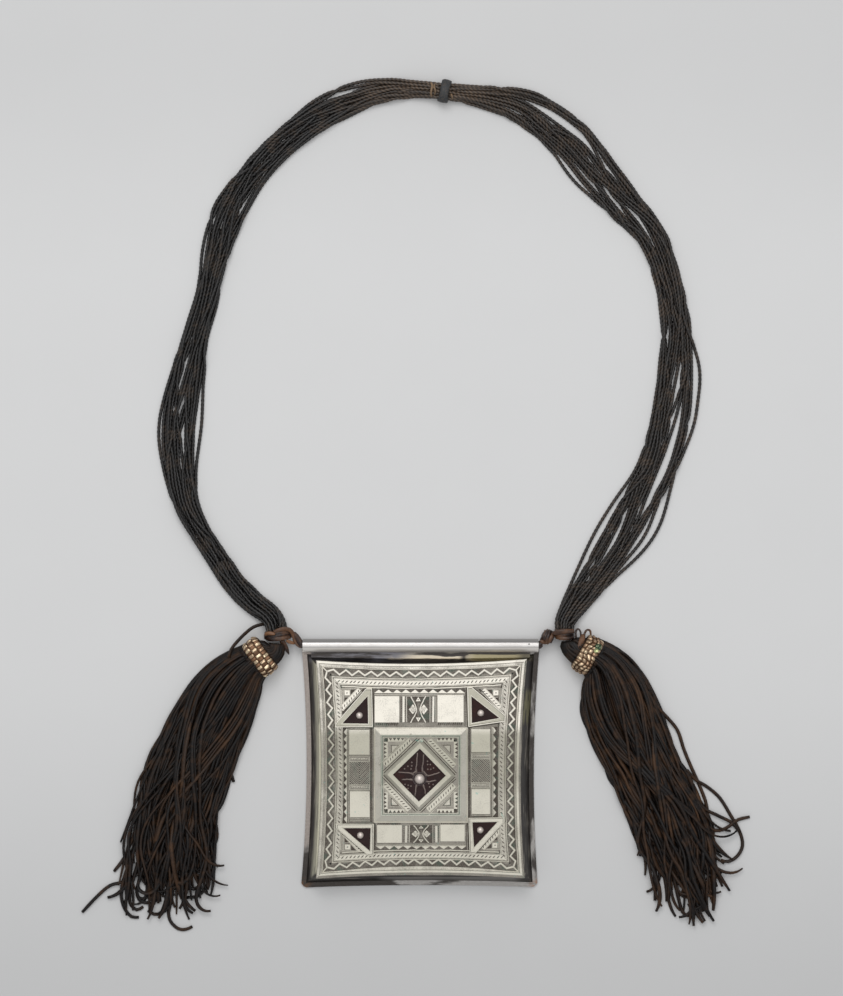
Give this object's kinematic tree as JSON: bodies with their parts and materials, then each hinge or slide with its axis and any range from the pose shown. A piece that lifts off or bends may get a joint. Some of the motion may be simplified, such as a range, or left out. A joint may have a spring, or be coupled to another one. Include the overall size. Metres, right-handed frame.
{
  "type": "amulet pendant necklace",
  "caption": "Silver box amulet with a relief face and dark inlays on a necklace of thin leather cords, with a leather tassel at each end of its suspension tube, lying flat.",
  "frame": {"origin": "on the surface the necklace lies on, under the middle of the pendant's back plate", "axes": "+X to the pendant's right as seen face on, +Y from the pendant up to the neck, +Z out of its face"},
  "size_m": [0.2712, 0.3542, 0.0144],
  "materials": {
    "patinated_silver": "dark patina with worn copper-coloured corners",
    "silver": "worn silver with dark recesses and green specks",
    "inlay": "dark, engraved, satin",
    "stud_silver": "polished, slightly pink",
    "brown_leather": "worn brown lace",
    "gold_wire": "woven flat wire",
    "dark_leather": "dark brown, dry",
    "cord_leather": "dark brown, twisted"
  },
  "bodies": {
    "root": {"back_plate": "patinated_silver", "case_wall": "patinated_silver", "face_plate": "silver", "inlay_center": "inlay", "inlay_nw": "inlay", "inlay_ne": "inlay", "inlay_sw": "inlay", "inlay_se": "inlay", "stud_center": "stud_silver", "stud_nw": "stud_silver", "stud_ne": "stud_silver", "stud_sw": "stud_silver", "stud_se": "stud_silver", "hanging_thong": "brown_leather", "hitch_left": "brown_leather", "hitch_right": "brown_leather", "knot_right": "brown_leather", "band_left": "gold_wire", "band_right": "gold_wire", "tassel_left": "dark_leather", "tassel_right": "dark_leather", "cords_left": "cord_leather", "cords_right": "cord_leather", "top_wrap": "dark_leather"}
  },
  "joints": []
}
